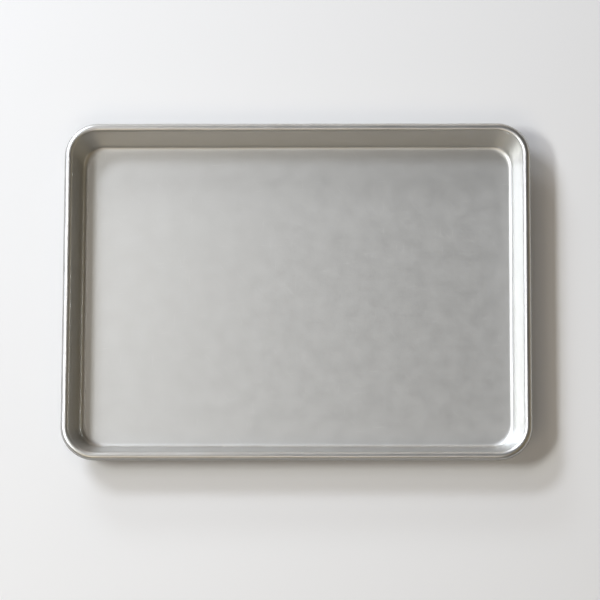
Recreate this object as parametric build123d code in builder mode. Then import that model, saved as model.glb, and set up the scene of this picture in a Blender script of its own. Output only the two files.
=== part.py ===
from build123d import *
import math
import os

# Jelly roll pan: one pressed aluminium sheet whose rim is curled round a steel rod.
# Millimetres. The underside lies on the XY plane, with its middle at the origin.
# X runs along the long side, Y towards the back and Z up.

# Overall size, over the rim
pan_length = 406.0
pan_width = 299.0
pan_depth = 25.4
rim_corner_radius = 29.5

# The sheet and its bends
sheet = 1.0
wall_draft = 21.6  # degrees that each wall leans outwards
floor_corner_radius = 21.0  # of the corner where the floor and two walls would meet
floor_bend_radius = 4.5  # from the floor up into the wall, on the inside

# The rod, and how the sheet closes round it
rod_diameter = 5.4
rod_clearance = 0.05
rod_end_gap = 1.5  # between the rod's two ends, at the middle of the back
curl_tail_gap = 0.3  # between the sheet's raw edge and the wall behind it

# The round bead that the curl makes, and its centre line's height and outline
curl_inner_radius = rod_diameter / 2 + rod_clearance
bead_radius = curl_inner_radius + sheet
bead_height = pan_depth - bead_radius
bead_length = pan_length - 2 * bead_radius
bead_width = pan_width - 2 * bead_radius
bead_corner_radius = rim_corner_radius - bead_radius

# The lean of the walls, and the height at which the outer face runs into the curl
lean = math.radians(wall_draft)
wall_top = bead_height + curl_inner_radius * math.sin(lean)

# The curl starts where the wall touches it and ends just short of the wall again
curl_start = 180 - wall_draft
curl_span = 360 - math.degrees(math.acos((curl_inner_radius - curl_tail_gap) / bead_radius))

# Where the curl and the rod are drawn: square to the rim, at the middle of the back
back_section = Plane(origin=(0, bead_width / 2, bead_height), x_dir=(0, 1, 0), z_dir=(1, 0, 0))


def wall_inset(radius, height):
    """How far a wall face lies inside the bead's centre line at a height.

    The face is tangent to a circle of the radius round that centre line.
    """
    return radius / math.cos(lean) + (bead_height - height) * math.tan(lean)


def tray_outline(inset, corner_radius):
    """A rounded rectangle that lies inside the bead's centre line by the inset."""
    return RectangleRounded(bead_length - 2 * inset, bead_width - 2 * inset, corner_radius)


def rim_half(start):
    """The bead's centre line from the back, round the right side, to the middle of the front."""
    with BuildLine(Plane.XY.offset(bead_height)) as half:
        FilletPolyline(
            (start, bead_width / 2),
            (bead_length / 2, bead_width / 2),
            (bead_length / 2, -bead_width / 2),
            (0, -bead_width / 2),
            radius=bead_corner_radius,
        )
    return half.line


# Insets of the wall's two faces, at the top of the wall and at the floor
inner_top_inset = wall_inset(bead_radius, wall_top)
outer_top_inset = wall_inset(curl_inner_radius, wall_top)
inner_floor_inset = wall_inset(bead_radius, sheet)
outer_floor_inset = wall_inset(curl_inner_radius, 0)

# The room inside the tray, with the bend round the floor's edge
with BuildPart() as tray_inside:
    with BuildSketch(Plane.XY.offset(sheet)):
        tray_outline(inner_floor_inset, floor_corner_radius)
    with BuildSketch(Plane.XY.offset(wall_top)):
        tray_outline(inner_top_inset, bead_corner_radius - inner_top_inset)
    loft(ruled=True)
    fillet(tray_inside.faces().sort_by(Axis.Z)[0].edges(), radius=floor_bend_radius)

# The curl, from the inner face of the wall over the top and back under
with BuildPart() as rim_curl:
    with BuildSketch(back_section):
        with BuildLine():
            outside = CenterArc((0, 0), bead_radius, curl_start, -curl_span)
            inside = CenterArc((0, 0), curl_inner_radius, curl_start, -curl_span)
            Line(outside @ 1, inside @ 1)
            Polyline(inside @ 0, (-inner_top_inset, wall_top - bead_height), outside @ 0)
        make_face()
    sweep(path=rim_half(0))
    mirror(about=Plane.YZ)

# Pan body: floor, walls and curled rim, all of one sheet
with BuildPart() as pan_body:
    with BuildSketch(Plane.XY):
        tray_outline(outer_floor_inset, floor_corner_radius + inner_floor_inset - outer_floor_inset)
    with BuildSketch(Plane.XY.offset(wall_top)):
        tray_outline(outer_top_inset, bead_corner_radius - outer_top_inset)
    loft(ruled=True)
    fillet(pan_body.faces().sort_by(Axis.Z)[0].edges(), radius=floor_bend_radius + sheet)
    add(tray_inside.part, mode=Mode.SUBTRACT)
    add(rim_curl.part)
pan_body.part.label = "pan_body"

# Rim rod: one bar bent to the rim's shape, its ends butted at the middle of the back
with BuildPart() as rim_rod:
    with BuildSketch(back_section.offset(rod_end_gap / 2)):
        Circle(rod_diameter / 2)
    sweep(path=rim_half(rod_end_gap / 2))
    mirror(about=Plane.YZ)
rim_rod.part.label = "rim_rod"

os.makedirs("parts", exist_ok=True)
export_step(pan_body.part, "parts/pan_body.step")
export_step(rim_rod.part, "parts/rim_rod.step")
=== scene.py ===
import bmesh
import bpy
import math
from mathutils import Matrix, Vector, noise


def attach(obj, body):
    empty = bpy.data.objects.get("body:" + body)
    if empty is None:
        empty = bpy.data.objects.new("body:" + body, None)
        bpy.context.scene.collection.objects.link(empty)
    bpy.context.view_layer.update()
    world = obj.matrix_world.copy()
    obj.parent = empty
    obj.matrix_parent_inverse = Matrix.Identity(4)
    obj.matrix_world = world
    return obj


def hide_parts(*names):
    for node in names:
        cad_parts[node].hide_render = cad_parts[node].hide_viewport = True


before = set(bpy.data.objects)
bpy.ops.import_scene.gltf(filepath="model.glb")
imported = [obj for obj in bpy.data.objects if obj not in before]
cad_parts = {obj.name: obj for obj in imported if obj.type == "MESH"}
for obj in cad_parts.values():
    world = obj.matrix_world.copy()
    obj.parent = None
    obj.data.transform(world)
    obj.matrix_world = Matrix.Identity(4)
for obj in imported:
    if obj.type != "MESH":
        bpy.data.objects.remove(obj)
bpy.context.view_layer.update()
MM = 0.001

# The pan's own dimensions
LENGTH, WIDTH, DEPTH = 406 * MM, 299 * MM, 25.4 * MM
RIM_CORNER = 29.5 * MM
SHEET = 1.0 * MM
LEAN = math.radians(21.6)  # of the walls, outwards
BEAD = 3.75 * MM  # radius of the round rim, outside
CURL = BEAD - SHEET  # and inside, round the rod
BEAD_HEIGHT = DEPTH - BEAD
TAIL_GAP = 0.3 * MM  # between the sheet's raw edge and the wall
BEND = 4.5 * MM  # from the floor up into the wall, on the inside
FLOOR_CORNER = 19.0 * MM  # of the flat floor
BEND_CORNER = 18.5 * MM  # where the bend runs into the wall

# How finely the shell is divided
CORNER_STEPS = 24
SIDE_CUTS = 70
BEAD_STEPS = 48
CURL_STEPS = 24
BEND_STEPS = 12
WALL_RINGS = (0.03, 0.15, 0.3, 0.45, 0.6, 0.75, 0.88, 0.97)  # places up the wall
FLAT_RING = 1.0 * MM  # between the edge of the flat floor and a ring that lies inside it

# How far pressing leaves the walls, bends and bead off true, and how often that comes and goes
SWAY, SWAYS_PER_METRE = 0.12 * MM, 20
RIPPLE, RIPPLES_PER_METRE = 0.07 * MM, 65
SWAY_FADE = 6 * MM  # from the flat floor, which stays true, to the full sway
NOISE_SEED = 1  # without one the noise differs from run to run

# Painted shade on the sheet: darker more and more from this angle down round the bead, and less on the
# outside
SHADE_PAINTED_FROM = 42.0  # degrees above level
OUTSIDE_PAINTED_SHADE = 0.4

# The sheet's finish: the width of its rolling grain, of its speckle and of its cloudy patches.
# The grain and the speckle are drawn coarser than real ones, so that they show
GRAIN = 0.7 * MM
GRAIN_STRETCH = 25
SPECKLE = 0.45 * MM
CLOUD = 14 * MM

# Fine scratches, drawn wider than real ones so that they show, and the specks left by baking
SCRATCH_WIDTH = 0.45 * MM
SCRATCH_STRETCH = 40
SCRATCH_DEGREES = (4, 87, 131)
SCRATCH_STRENGTH = 0.35
SCRATCH_FROM, SCRATCH_TO = 0.8, 0.88  # the peaks of the noise that are drawn as scratches
SPECK_SPACING = 75 * MM
SPECK_SIZE = 0.9 * MM
SPECK_STRENGTH = 0.5

# The sheet's roughness, and what each feature adds to it or takes away
ROUGHNESS = 0.435
CLOUD_DULLS = 0.075
SPECKLE_DULLS = 0.05
GRAIN_DULLS = 0.05
WALL_DULLS = -0.18  # stretched and polished by the press
RIM_DULLS = 0.07  # rubbed by hands and racks
DARK_DULLS = 0.18
SCRATCH_DULLS = 0.2

# The heights over which the floor's finish gives way to the wall's, and the wall's to the rim's
WALL_FINISH = (1 * MM, 4 * MM)
RIM_FINISH = (18 * MM, 23 * MM)

# The relief that grain and speckle make together
RELIEF = 0.02 * MM
RELIEF_STRENGTH = 0.35
GRAIN_RELIEF, SPECKLE_RELIEF = 0.6, 0.4

# The zinc on the rod: its spangles, its cloudy patches, and how dull they are
SPANGLE = 3 * MM
ZINC_CLOUD = 6 * MM
ZINC_ROUGHNESS = 0.35
ZINC_CLOUD_DULLS, SPANGLE_DULLS = 0.2, 0.1

# The floor, in metres, and the even backdrop that takes its place further out from the pan
FLOOR_SIZE = 6.0
FLOOR_ROUGHNESS = 0.6
BACKDROP_START = 0.4
BACKDROP_FULL = 0.8
SHADOW_LIFT = 0.09  # the backdrop's share beside the pan, which softens the shadow

# The room's brightness, from the horizon up
ROOM_STOPS = ((0.0, "#d8d4cc"), (0.06, "#8a857b"), (0.25, "#26241f"), (1.0, "#0c0c0b"))

# The camera looks down on the pan from far above, a little in front and to the right of it
SENSOR = 36.0  # width, in Blender's millimetres
LENS_PIXELS = 4542.0  # the lens's length, in pixels of the picture
PICTURE_PIXELS = 600.0
TILT = math.radians(13.0)
ROLL = math.radians(0.218)
CAMERA_DISTANCE = 3.93  # metres, as are the two places below
CAMERA_X = 0.0807
AIM = Vector((0.00274, -0.00841, 0.0217))  # what it looks at, close to the middle of the rim

# The sockets of a Mix node that hold colours
MIX_A, MIX_B, MIX_RESULT = 6, 7, 2


def linear(hex_colour):
    """An sRGB hex colour as linear RGB."""
    parts = [int(hex_colour[i:i + 2], 16) / 255 for i in (1, 3, 5)]
    return [c / 12.92 if c <= 0.04045 else ((c + 0.055) / 1.055) ** 2.4 for c in parts]


def add_node(tree, kind, settings=None, links=None):
    """Adds a node, sets its properties or sockets, and links (socket name: other output)."""
    node = tree.nodes.new(kind)
    for name, value in (settings or {}).items():
        if hasattr(node, name):
            setattr(node, name, value)
        else:
            node.inputs[name].default_value = value
    for name, output in (links or {}).items():
        tree.links.new(output, node.inputs[name])
    return node


def new_material(name):
    material = bpy.data.materials.new(name)
    material.use_nodes = True
    material.node_tree.nodes.clear()
    return material


def mix_values(tree, parts, base):
    """The base value plus each input times its share."""
    total = None
    for value, share in parts:
        step = add_node(tree, "ShaderNodeMath", {"operation": "MULTIPLY_ADD"}, {0: value})
        step.inputs[1].default_value = share
        step.inputs[2].default_value = base
        if total:
            tree.links.new(total, step.inputs[2])
        total = step.outputs[0]
    return total


def mix_colours(tree, factor, low, high):
    """Two colours mixed by the factor. The low one is a hex colour or another node's output."""
    step = add_node(tree, "ShaderNodeMix", {"data_type": "RGBA"}, {"Factor": factor})
    if isinstance(low, str):
        step.inputs[MIX_A].default_value = (*linear(low), 1)
    else:
        tree.links.new(low, step.inputs[MIX_A])
    step.inputs[MIX_B].default_value = (*linear(high), 1)
    return step.outputs[MIX_RESULT]


def scratches(tree, place, degrees):
    """Sparse straight scratches that run at the angle given: 1 on a scratch and 0 beside it."""
    laid = add_node(tree, "ShaderNodeMapping", {
        "vector_type": "TEXTURE", "Rotation": (0, 0, math.radians(degrees)),
        "Scale": (SCRATCH_STRETCH, 1, 1)}, {"Vector": place})
    lines = add_node(tree, "ShaderNodeTexNoise", {"Scale": 1 / SCRATCH_WIDTH, "Detail": 0},
                     {"Vector": laid.outputs[0]})
    return add_node(tree, "ShaderNodeMapRange", {"From Min": SCRATCH_FROM, "From Max": SCRATCH_TO},
                    {"Value": lines.outputs["Fac"]}).outputs[0]


def satin_aluminium():
    """Cold-rolled aluminium sheet, pressed and washed often: a soft satin shine with a fine
    rolling grain along the length, cloudy dull patches and faint rubbing marks. Shade is
    painted darker on the bead's lower outer side and on the outside."""
    material = new_material("satin_aluminium_rolled_and_pressed")
    tree = material.node_tree
    place = add_node(tree, "ShaderNodeTexCoord").outputs["Object"]
    along = add_node(tree, "ShaderNodeMapping", {"Scale": (1 / GRAIN_STRETCH, 1.0, 1.0)}, {"Vector": place})
    grain = add_node(tree, "ShaderNodeTexNoise", {"Scale": 1 / GRAIN, "Detail": 3},
                     {"Vector": along.outputs[0]}).outputs["Fac"]
    speckle = add_node(tree, "ShaderNodeTexNoise", {"Scale": 1 / SPECKLE, "Detail": 2},
                       {"Vector": place}).outputs["Fac"]
    cloud = add_node(tree, "ShaderNodeTexNoise", {"Scale": 1 / CLOUD, "Detail": 4},
                     {"Vector": place}).outputs["Fac"]

    height = add_node(tree, "ShaderNodeSeparateXYZ", links={0: place}).outputs["Z"]
    wall, rim = (
        add_node(tree, "ShaderNodeMapRange", {"From Min": low, "From Max": high},
                 {"Value": height}).outputs[0]
        for low, high in (WALL_FINISH, RIM_FINISH)
    )
    # How much shade is painted here, read from the shell's points; it also makes the sheet rougher
    painted_shade_mask = add_node(tree, "ShaderNodeAttribute", {"attribute_name": "painted_shade"}).outputs["Fac"]

    lines = [scratches(tree, place, degrees) for degrees in SCRATCH_DEGREES]
    scratched = mix_values(tree, [(line, SCRATCH_STRENGTH) for line in lines], 0.0)
    cells = add_node(tree, "ShaderNodeTexVoronoi", {"Scale": 1 / SPECK_SPACING}, {"Vector": place})
    specks = add_node(tree, "ShaderNodeMapRange", {
        "From Min": SPECK_SIZE / SPECK_SPACING, "From Max": 0.0, "To Max": SPECK_STRENGTH},
        {"Value": cells.outputs["Distance"]}).outputs[0]

    roughness = mix_values(tree, (
        (cloud, CLOUD_DULLS), (speckle, SPECKLE_DULLS), (grain, GRAIN_DULLS), (wall, WALL_DULLS),
        (rim, RIM_DULLS), (painted_shade_mask, DARK_DULLS), (scratched, SCRATCH_DULLS)), ROUGHNESS)
    tone = mix_colours(tree, cloud, "#d2d2d0", "#d8d8d6")
    # The last colour, #7c7974, is painted shade on the bead's lower outer side and the outside
    for factor, colour in ((scratched, "#f4f4f2"), (specks, "#7d7870"), (painted_shade_mask, "#7c7974")):
        tone = mix_colours(tree, factor, tone, colour)
    relief = mix_values(tree, ((grain, GRAIN_RELIEF), (speckle, SPECKLE_RELIEF)), 0.0)
    bump = add_node(tree, "ShaderNodeBump", {"Strength": RELIEF_STRENGTH, "Distance": RELIEF},
                    {"Height": relief})
    shader = add_node(tree, "ShaderNodeBsdfPrincipled", {"Metallic": 1.0}, {
        "Base Color": tone, "Roughness": roughness, "Normal": bump.outputs[0]})
    add_node(tree, "ShaderNodeOutputMaterial", links={"Surface": shader.outputs[0]})
    return material


def galvanised_steel():
    """Zinc-dipped steel rod: dull blue-grey with pale spangles a few millimetres across."""
    material = new_material("galvanised_steel_hot_dipped")
    tree = material.node_tree
    place = add_node(tree, "ShaderNodeTexCoord").outputs["Object"]
    spangle = add_node(tree, "ShaderNodeTexVoronoi", {"Scale": 1 / SPANGLE},
                       {"Vector": place}).outputs["Distance"]
    cloud = add_node(tree, "ShaderNodeTexNoise", {"Scale": 1 / ZINC_CLOUD, "Detail": 3},
                     {"Vector": place}).outputs["Fac"]
    roughness = mix_values(tree, ((cloud, ZINC_CLOUD_DULLS), (spangle, SPANGLE_DULLS)), ZINC_ROUGHNESS)
    shader = add_node(tree, "ShaderNodeBsdfPrincipled", {"Metallic": 1.0}, {
        "Base Color": mix_colours(tree, spangle, "#c3c8cc", "#a5abb0"), "Roughness": roughness})
    add_node(tree, "ShaderNodeOutputMaterial", links={"Surface": shader.outputs[0]})
    return material


def floor_material():
    """A matt pale floor round the pan. Further out the same colour is a backdrop that the
    camera and the metal see, and that lights nothing."""
    material = new_material("pale_matt_floor")
    tree = material.node_tree
    matt = add_node(tree, "ShaderNodeBsdfPrincipled", {
        "Base Color": (*linear("#eeeeee"), 1), "Roughness": FLOOR_ROUGHNESS})
    backdrop = add_node(tree, "ShaderNodeEmission", {"Color": (*linear("#e6e6e6"), 1)})
    place = add_node(tree, "ShaderNodeTexCoord").outputs["Object"]
    away = add_node(tree, "ShaderNodeVectorMath", {"operation": "LENGTH"}, {0: place})
    share = add_node(tree, "ShaderNodeMapRange", {
        "interpolation_type": "SMOOTHSTEP", "From Min": BACKDROP_START, "From Max": BACKDROP_FULL,
        "To Min": SHADOW_LIFT}, {"Value": away.outputs["Value"]})
    ray = add_node(tree, "ShaderNodeLightPath").outputs
    direct = add_node(tree, "ShaderNodeMath", {"operation": "ADD"}, {
        0: ray["Is Camera Ray"], 1: ray["Is Glossy Ray"]})
    seen = add_node(tree, "ShaderNodeMath", {"operation": "ADD", "use_clamp": True}, {
        0: direct.outputs[0], 1: ray["Is Transmission Ray"]})
    shown = add_node(tree, "ShaderNodeMath", {"operation": "MULTIPLY"}, {
        0: seen.outputs[0], 1: share.outputs[0]})
    both = add_node(tree, "ShaderNodeMixShader", links={
        0: shown.outputs[0], 1: matt.outputs[0], 2: backdrop.outputs[0]})
    add_node(tree, "ShaderNodeOutputMaterial", links={"Surface": both.outputs[0]})
    return material


def clamped(value):
    return max(0.0, min(1.0, value))


def arc(inset, height, radius, start, end, steps):
    """Points of an arc in the rim's section: 0 degrees points outwards and 90 up."""
    turns = [math.radians(start + (end - start) * i / steps) for i in range(steps + 1)]
    return [(inset - radius * math.cos(t), height + radius * math.sin(t)) for t in turns]


def bend_rings(radius, inset, painted_shade):
    """The bend from the floor to the wall. Its corner radius shrinks a little on the way up."""
    points = arc(inset, SHEET + BEND, radius, -90, -math.degrees(LEAN), BEND_STEPS)
    rings = []
    for i, (across, height) in enumerate(points):
        corner = FLOOR_CORNER + (BEND_CORNER - FLOOR_CORNER) * i / BEND_STEPS
        offset = (radius - BEND) * (inset - across) / radius
        rings.append((across, height, corner + offset, painted_shade))
    return rings


def wall_rings(low, high):
    """Rings on the straight wall between a ring at each end of it."""
    return [tuple(a + (b - a) * share for a, b in zip(low, high)) for share in WALL_RINGS]


def section_rings():
    """The rim's section as rings (inset from the rim's outside, height, corner radius, painted shade).

    It runs from the middle of the floor up the inside, round the bead, back inside the
    curl and down the outside to the middle of the underside.
    """
    touch = 180 - math.degrees(LEAN)
    span = 360 - math.degrees(math.acos((CURL - TAIL_GAP) / BEAD))
    foot = BEAD + BEAD / math.cos(LEAN) + (BEAD_HEIGHT - SHEET) * math.tan(LEAN)
    flat = foot + BEND * math.tan((math.pi / 2 - LEAN) / 2)

    # Shade is painted more and more down round the bead's outer side, and fully inside the curl
    bead = []
    for i, (across, height) in enumerate(arc(BEAD, BEAD_HEIGHT, BEAD, touch, touch - span, BEAD_STEPS)):
        turn = touch - span * i / BEAD_STEPS
        bead.append((across, height, RIM_CORNER - across, clamped((SHADE_PAINTED_FROM - turn) / SHADE_PAINTED_FROM)))
    curl = [(across, height, RIM_CORNER - across, 1.0)
            for across, height in arc(BEAD, BEAD_HEIGHT, CURL, touch - span, touch, CURL_STEPS)]

    inner = bend_rings(BEND, flat, 0.0)
    # The outside of the bend and the underside carry a lighter painted shade
    outer = bend_rings(BEND + SHEET, flat, OUTSIDE_PAINTED_SHADE)[::-1]
    floor_edge = (flat + FLAT_RING, SHEET, FLOOR_CORNER - FLAT_RING, 0.0)
    under_edge = (flat + FLAT_RING, 0.0, FLOOR_CORNER - FLAT_RING, OUTSIDE_PAINTED_SHADE)
    return (
        [floor_edge] + inner + wall_rings(inner[-1], bead[0]) + bead
        + curl + wall_rings(curl[-1], outer[0]) + outer + [under_edge]
    )


def move_ring(points, old, new):
    """Takes a rounded rectangle of points from one ring's place to the next."""
    for point in points:
        for axis, half in enumerate((LENGTH / 2, WIDTH / 2)):
            core, next_core = half - old[0] - old[2], half - new[0] - new[2]
            held = max(-core, min(core, point.co[axis]))
            point.co[axis] = held * next_core / core + (point.co[axis] - held) * new[2] / old[2]
        point.co.z = new[1]


def tray_shell(rings):
    """One skin through the rings, closed by the floor and by the underside.

    With it come its points, each with the inset of its ring.
    """
    shell = bmesh.new()
    across, height, corner, _ = rings[0]
    # Each point carries how much shade is painted on it
    shell.verts.layers.float.new("painted_shade")
    half_step = Matrix.Rotation(math.pi / (4 * CORNER_STEPS), 4, "Z")
    bmesh.ops.create_circle(shell, segments=4 * CORNER_STEPS, radius=corner, matrix=half_step)
    for point in shell.verts:
        for axis, half in enumerate((LENGTH / 2, WIDTH / 2)):
            point.co[axis] += math.copysign(half - across - corner, point.co[axis])
        point.co.z = height
    sides = [edge for edge in shell.edges if edge.calc_length() > 4 * corner]
    bmesh.ops.subdivide_edges(shell, edges=sides, cuts=SIDE_CUTS)
    edges = list(shell.edges)
    placed = [(point, across) for point in shell.verts]
    bmesh.ops.contextual_create(shell, geom=edges)
    for old, new in zip(rings, rings[1:]):
        made = bmesh.ops.extrude_edge_only(shell, edges=edges)["geom"]
        points = {part for part in made if isinstance(part, bmesh.types.BMVert)}
        edges = [part for part in made
                 if isinstance(part, bmesh.types.BMEdge) and points.issuperset(part.verts)]
        move_ring(points, old, new)
        painted_shade = shell.verts.layers.float["painted_shade"]
        for point in points:
            point[painted_shade] = new[3]
        placed += [(point, new[0]) for point in points]
    bmesh.ops.contextual_create(shell, geom=edges)
    bmesh.ops.recalc_face_normals(shell, faces=shell.faces)
    return shell, placed


def put_off_true(placed, flat_inset):
    """Moves the points outside the flat floor a little, as far as a press leaves them off true."""
    noise.seed_set(NOISE_SEED)
    for point, inset in placed:
        share = clamped((flat_inset - inset) / SWAY_FADE)
        if share:
            sway = noise.noise_vector(point.co * SWAYS_PER_METRE)
            ripple = noise.noise_vector(point.co * RIPPLES_PER_METRE)
            point.co += share * (SWAY * sway + RIPPLE * ripple)


def pan_shell():
    """The pan's sheet as one finely divided skin, in place of the CAD mesh and its facets."""
    rings = section_rings()
    shell, placed = tray_shell(rings)
    put_off_true(placed, flat_inset=rings[1][0])
    for face in shell.faces:
        face.smooth = True
    mesh = bpy.data.meshes.new("pan_shell")
    shell.to_mesh(mesh)
    shell.free()
    mesh.materials.append(satin_aluminium())
    pan = bpy.data.objects.new("pan_shell", mesh)
    bpy.context.scene.collection.objects.link(pan)
    return pan


def soft_lamp(name, place, size, glow, colour):
    """A softbox that faces the pan. Its glow is how bright it looks, where 1 is white."""
    data = bpy.data.lights.new(name, "AREA")
    data.shape = "RECTANGLE"
    data.size, data.size_y = size
    data.energy = math.pi * size[0] * size[1] * glow
    data.color = linear(colour)
    lamp = bpy.data.objects.new(name, data)
    bpy.context.scene.collection.objects.link(lamp)
    lamp.location = place
    lamp.rotation_euler = (-Vector(place)).to_track_quat("-Z", "Y").to_euler()
    lamp.visible_camera = False


def dim_room():
    """A dim warm room round the pan, palest at the horizon."""
    world = bpy.data.worlds.new("studio_room")
    bpy.context.scene.world = world
    world.use_nodes = True
    tree = world.node_tree
    tree.nodes.clear()
    sky = add_node(tree, "ShaderNodeTexCoord").outputs["Generated"]
    height = add_node(tree, "ShaderNodeSeparateXYZ", links={0: sky}).outputs["Z"]
    room = add_node(tree, "ShaderNodeValToRGB", links={0: height})
    ramp = room.color_ramp.elements
    while len(ramp) < len(ROOM_STOPS):
        ramp.new(0.5)
    for stop, (position, colour) in zip(ramp, ROOM_STOPS):
        stop.position = position
        stop.color = (*linear(colour), 1)
    glow = add_node(tree, "ShaderNodeBackground", links={0: room.outputs[0]})
    add_node(tree, "ShaderNodeOutputWorld", links={0: glow.outputs[0]})


def camera_above():
    """The camera at the photograph's angle, with the pan's length level in the picture."""
    data = bpy.data.cameras.new("camera")
    data.sensor_width = SENSOR
    data.lens = LENS_PIXELS / PICTURE_PIXELS * SENSOR
    camera = bpy.data.objects.new("camera", data)
    bpy.context.scene.collection.objects.link(camera)
    camera.location = (
        CAMERA_X,
        AIM.y - CAMERA_DISTANCE * math.sin(TILT),
        AIM.z + CAMERA_DISTANCE * math.cos(TILT),
    )
    ahead = (AIM - camera.location).normalized()
    right = ahead.cross(Vector((0, 1, 0))).normalized()
    turn = Matrix((right, right.cross(ahead), -ahead)).transposed()
    camera.rotation_euler = (turn @ Matrix.Rotation(ROLL, 3, "Z")).to_euler()
    return camera


pan = pan_shell()
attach(pan, "root")
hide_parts("pan_body")

for name, make in (("pan_body", satin_aluminium), ("rim_rod", galvanised_steel)):
    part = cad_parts[name]
    part.data.materials.clear()
    part.data.materials.append(make())

bpy.ops.mesh.primitive_plane_add(size=FLOOR_SIZE)
floor = bpy.context.object
floor.name = "studio_floor"
floor.data.materials.append(floor_material())

# A window's light from the left and behind, spread by softer boxes, in a dim warm room.
# Each lamp has its place and its size in metres
soft_lamp("window", (-1.82, 1.7, 1.68), (1.0, 0.42), 37.0, "#eef4ff")
soft_lamp("window_left", (-2.02, 0.71, 2.1), (0.5, 0.3), 10.0, "#dcdeff")
soft_lamp("window_low", (-1.41, 2.44, 1.03), (0.9, 0.4), 21.0, "#eef6ff")
soft_lamp("side_high", (-2.01, 0.0, 2.23), (0.8, 0.37), 43.0, "#fdfffd")
soft_lamp("overhead", (-0.26, 0.18, 0.74), (0.25, 0.14), 3.9, "#fff8ed")
soft_lamp("back", (0.0, 2.6, 1.1), (1.6, 0.6), 1.4, "#ffe8d0")
soft_lamp("front_high", (0.0, -0.9, 1.8), (0.8, 0.5), 1.2, "#cfdcff")
soft_lamp("front", (-0.4, -1.05, 1.38), (1.1, 0.7), 1.9, "#ffeccc")
soft_lamp("right", (0.89, -0.52, 1.47), (0.9, 0.8), 0.4, "#ffdc90")
soft_lamp("right_low", (2.0, 0.0, 0.9), (2.0, 0.7), 0.45, "#ffeabf")
dim_room()

bpy.context.scene.camera = camera_above()
bpy.context.scene.view_settings.view_transform = "Standard"
